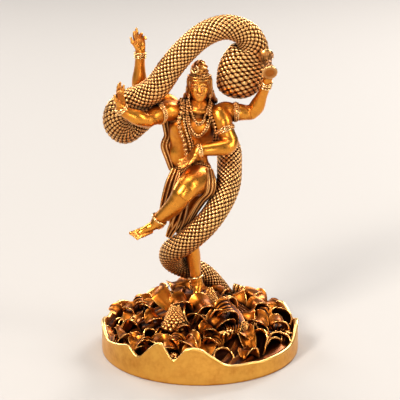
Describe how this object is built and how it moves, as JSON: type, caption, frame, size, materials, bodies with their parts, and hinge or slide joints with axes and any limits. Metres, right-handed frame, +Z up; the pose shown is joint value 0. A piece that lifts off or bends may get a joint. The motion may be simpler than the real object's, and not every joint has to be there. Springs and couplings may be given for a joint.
{
  "type": "dancing deity statuette",
  "caption": "Four-armed dancing figure in the coils of a great scaled serpent, standing in curling waves on a round drum base.",
  "frame": {"origin": "centre of the flat underside of the round base", "axes": "+Z up; the figure faces -Y; +X to the viewer's right when looking at its front"},
  "size_m": [0.116, 0.116, 0.1997],
  "materials": {
    "wall": "satin golden, smooth, with a brighter worn rim",
    "sea": "dark patina in the hollows, worn gold on the swells",
    "waves": "polished amber gold with dark hollows and pale rims",
    "scales": "pale worn scale beads over near-black gaps",
    "skin": "polished warm gold with brown patina in the creases",
    "hair": "antique gold strands over dark grooves",
    "cloth": "antique gold folds with dark valleys",
    "jewellery": "bright worn gold beads over dark patina",
    "steel": "zinc plated"
  },
  "bodies": {
    "root": {"base_drum": "wall", "sea_mound": "sea", "crests_front": "waves", "crests_left": "waves", "crests_right": "waves", "crests_back": "waves", "crests_centre": "waves", "ribbed_shells": "waves", "scaled_cones": "waves", "fixing_rod": "steel", "fixing_nut": "steel", "serpent_tail": "scales", "serpent_lower_coil": "scales", "serpent_rise": "scales", "serpent_back": "scales", "serpent_loop": "scales", "serpent_arch": "scales", "serpent_hood": "scales", "serpent_head": "scales", "torso": "skin", "pelvis": "skin", "head": "skin", "hair": "hair", "hair_locks": "hair", "top_knot": "hair", "crescent": "jewellery", "earrings": "jewellery", "right_rear_upper_arm": "skin", "right_rear_forearm": "skin", "right_rear_hand": "skin", "right_front_upper_arm": "skin", "right_front_forearm": "skin", "right_front_hand": "skin", "left_front_upper_arm": "skin", "left_front_forearm": "skin", "left_front_hand": "skin", "left_rear_upper_arm": "skin", "left_rear_forearm": "skin", "left_rear_hand": "skin", "left_thigh": "skin", "left_shin": "skin", "left_foot": "skin", "right_thigh": "skin", "right_shin": "skin", "right_foot": "skin", "armlets": "jewellery", "bracelets": "jewellery", "anklets": "jewellery", "short_necklace": "jewellery", "long_necklace": "jewellery", "bead_garland": "jewellery", "rosette_garland": "jewellery", "girdle": "jewellery", "loincloth": "cloth", "side_sash": "cloth", "centre_cloth": "cloth", "flank_ribbon": "cloth", "damru_body": "jewellery", "damru_skins": "jewellery"}
  },
  "joints": []
}
